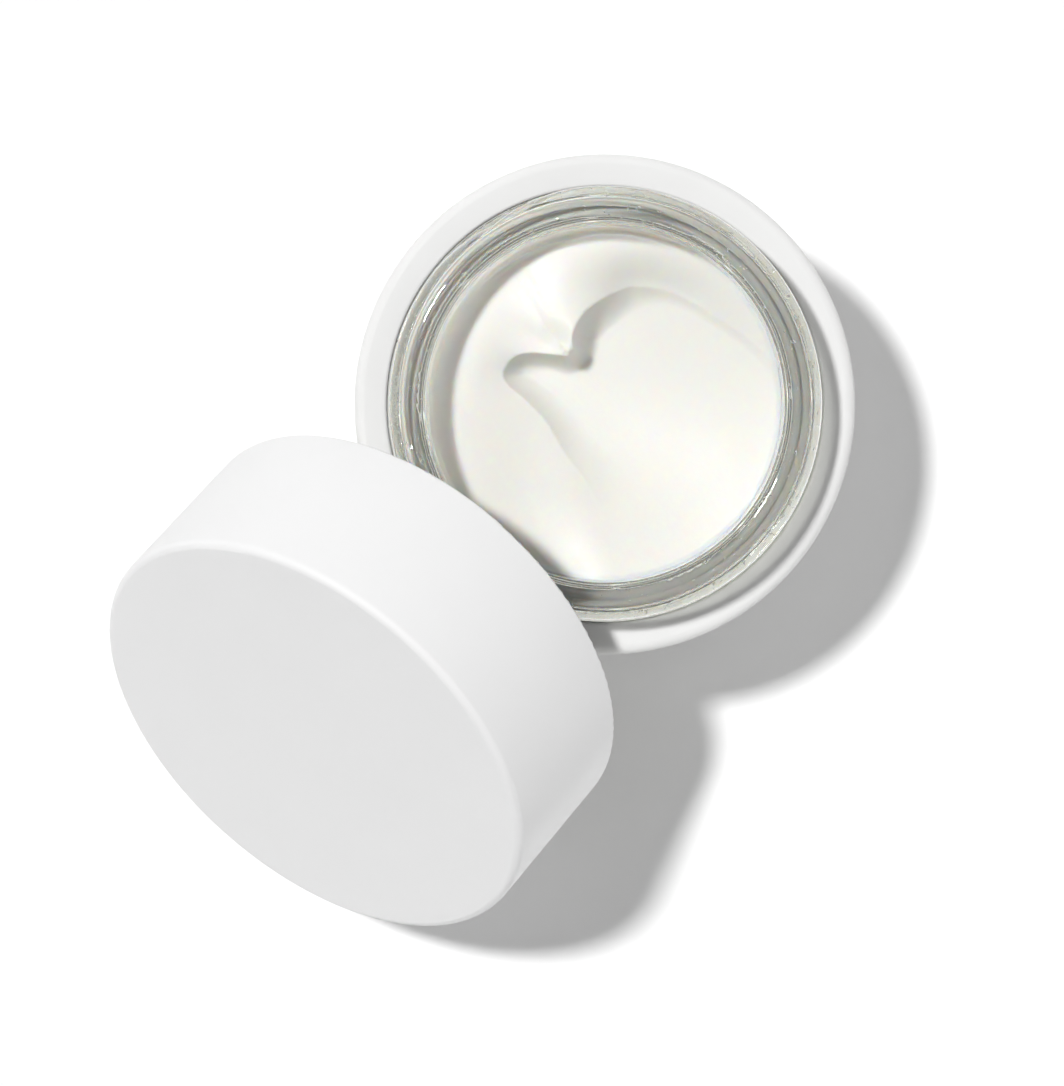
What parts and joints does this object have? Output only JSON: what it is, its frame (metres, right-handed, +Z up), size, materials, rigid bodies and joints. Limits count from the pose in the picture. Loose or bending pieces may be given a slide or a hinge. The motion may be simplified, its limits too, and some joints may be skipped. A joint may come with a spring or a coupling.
{
  "type": "cosmetic cream jar",
  "caption": "Open screw-top cream jar: white satin body, clear glass threaded neck, scooped cream, and its plain white lid leaning on the rim.",
  "frame": {"origin": "centre of the jar's foot, on the surface it stands on", "axes": "+Z up along the jar's axis; the lid leans on the jar's -Y side, so YZ is the plane of symmetry; X runs along the lid's swing axis"},
  "size_m": [0.06, 0.1004, 0.0598],
  "materials": {
    "white_shell": "satin moulded white",
    "white_base": "matte moulded white",
    "clear_glass": "clear, fire polished",
    "cream": "soft glossy emulsion",
    "white_lid": "satin moulded white",
    "white_insert": "natural white moulded",
    "foam_seal": "closed-cell foam, fine skin"
  },
  "bodies": {
    "jar": {"outer_shell": "white_shell", "base_cap": "white_base", "glass_jar": "clear_glass", "cream": "cream"},
    "seal": {"seal_disc": "foam_seal"},
    "lid": {"lid_shell": "white_lid", "lid_insert": "white_insert"}
  },
  "joints": [
    {"name": "lid_swing", "type": "hinge", "parent": "jar", "child": "seal", "pos_m": [0, 0, -0.00286], "axis": [-1, 0, 0], "range_deg": [0, 53.6]},
    {"name": "lid_turn", "type": "hinge", "parent": "seal", "child": "lid", "pos_m": [0, -0.03619, 0.02382], "axis": [0, -0.8049, 0.5934], "continuous": true}
  ]
}
